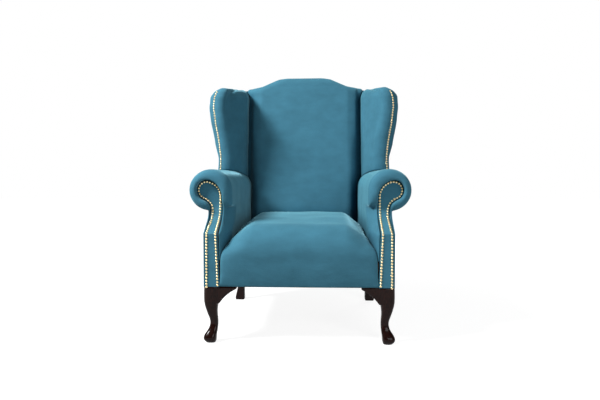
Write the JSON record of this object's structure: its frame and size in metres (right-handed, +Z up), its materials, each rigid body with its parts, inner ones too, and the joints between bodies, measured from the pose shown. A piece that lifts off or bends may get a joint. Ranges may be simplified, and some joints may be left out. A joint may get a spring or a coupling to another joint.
{
  "type": "wingback armchair",
  "caption": "High-backed upholstered armchair with flared wings, scroll arms, a camel-topped back, a tight rolled seat and cabriole front legs.",
  "frame": {"origin": "on the floor, midway between the sides and between the frontmost and rearmost points of the chair", "axes": "+Z up, -Y towards the front where the sitter faces, +X to the right seen from the front"},
  "size_m": [0.83, 0.7879, 1.0821],
  "materials": {
    "dark_wood": "dark mahogany stain under gloss lacquer",
    "frame_wood": "sawn beech, unfinished",
    "lining": "woven, matte",
    "padding": "foam and fibre, matte",
    "steel": "plated",
    "velvet": "short pile velvet with a soft sheen"
  },
  "bodies": {
    "root": {"arm_board_left": "frame_wood", "arm_board_right": "frame_wood", "arm_cover_left": "velvet", "arm_cover_right": "velvet", "arm_facing_left": "velvet", "arm_facing_right": "velvet", "arm_pad_left": "padding", "arm_pad_right": "padding", "arm_stump_left": "frame_wood", "arm_stump_right": "frame_wood", "back_cover": "velvet", "back_pad": "padding", "back_post_left": "frame_wood", "back_post_right": "frame_wood", "back_rail": "frame_wood", "back_webbing": "lining", "corner_blocks": "frame_wood", "crest_rail": "frame_wood", "front_leg_left": "dark_wood", "front_leg_right": "dark_wood", "front_rail": "frame_wood", "knee_brackets_left": "dark_wood", "knee_brackets_right": "dark_wood", "leg_bolts": "steel", "outside_arm_left": "velvet", "outside_arm_right": "velvet", "outside_back": "velvet", "outside_wing_left": "velvet", "outside_wing_right": "velvet", "rear_leg_left": "dark_wood", "rear_leg_right": "dark_wood", "seat_cover": "velvet", "seat_hessian": "lining", "seat_pad": "padding", "seat_webbing_cross": "lining", "seat_webbing_long": "lining", "side_rail_left": "frame_wood", "side_rail_right": "frame_wood", "tack_rail": "frame_wood", "undercloth": "lining", "wing_cover_left": "velvet", "wing_cover_right": "velvet", "wing_pad_left": "padding", "wing_pad_right": "padding", "wing_post_left": "frame_wood", "wing_post_right": "frame_wood", "wing_rail_left": "frame_wood", "wing_rail_right": "frame_wood"}
  },
  "joints": []
}
